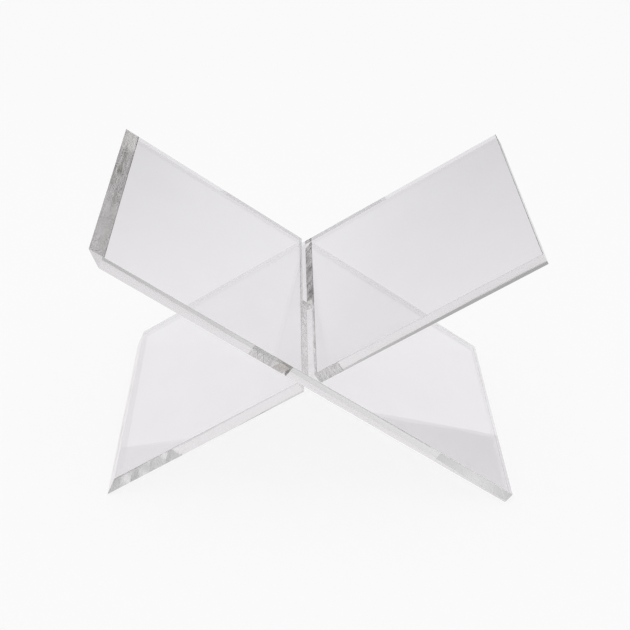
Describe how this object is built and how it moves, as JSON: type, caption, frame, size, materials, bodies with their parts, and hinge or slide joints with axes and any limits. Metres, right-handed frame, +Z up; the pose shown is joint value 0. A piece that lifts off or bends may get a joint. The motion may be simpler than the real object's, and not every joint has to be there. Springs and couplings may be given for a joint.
{
  "type": "magazine stand",
  "caption": "X-shaped tabletop stand for an open magazine or book: flat clear acrylic sheets halved into each other by slots, with a V cradle above and splayed legs below.",
  "frame": {"origin": "on the floor, below the middle of the line where the two sheets cross", "axes": "+Z up, +X towards the right wing, -Y towards the front; the crossing line runs along Y"},
  "size_m": [0.3399, 0.2286, 0.2365],
  "materials": {
    "clear_acrylic": "clear cast acrylic, polished faces, cut edges"
  },
  "bodies": {
    "left_wing": {"left_wing_panel": "clear_acrylic"},
    "right_wing": {"right_wing_panel": "clear_acrylic"}
  },
  "joints": [
    {"name": "panels_slide_apart", "type": "slide", "parent": "left_wing", "child": "right_wing", "axis": [0, 1, 0], "range_m": [0, 0.13]}
  ]
}
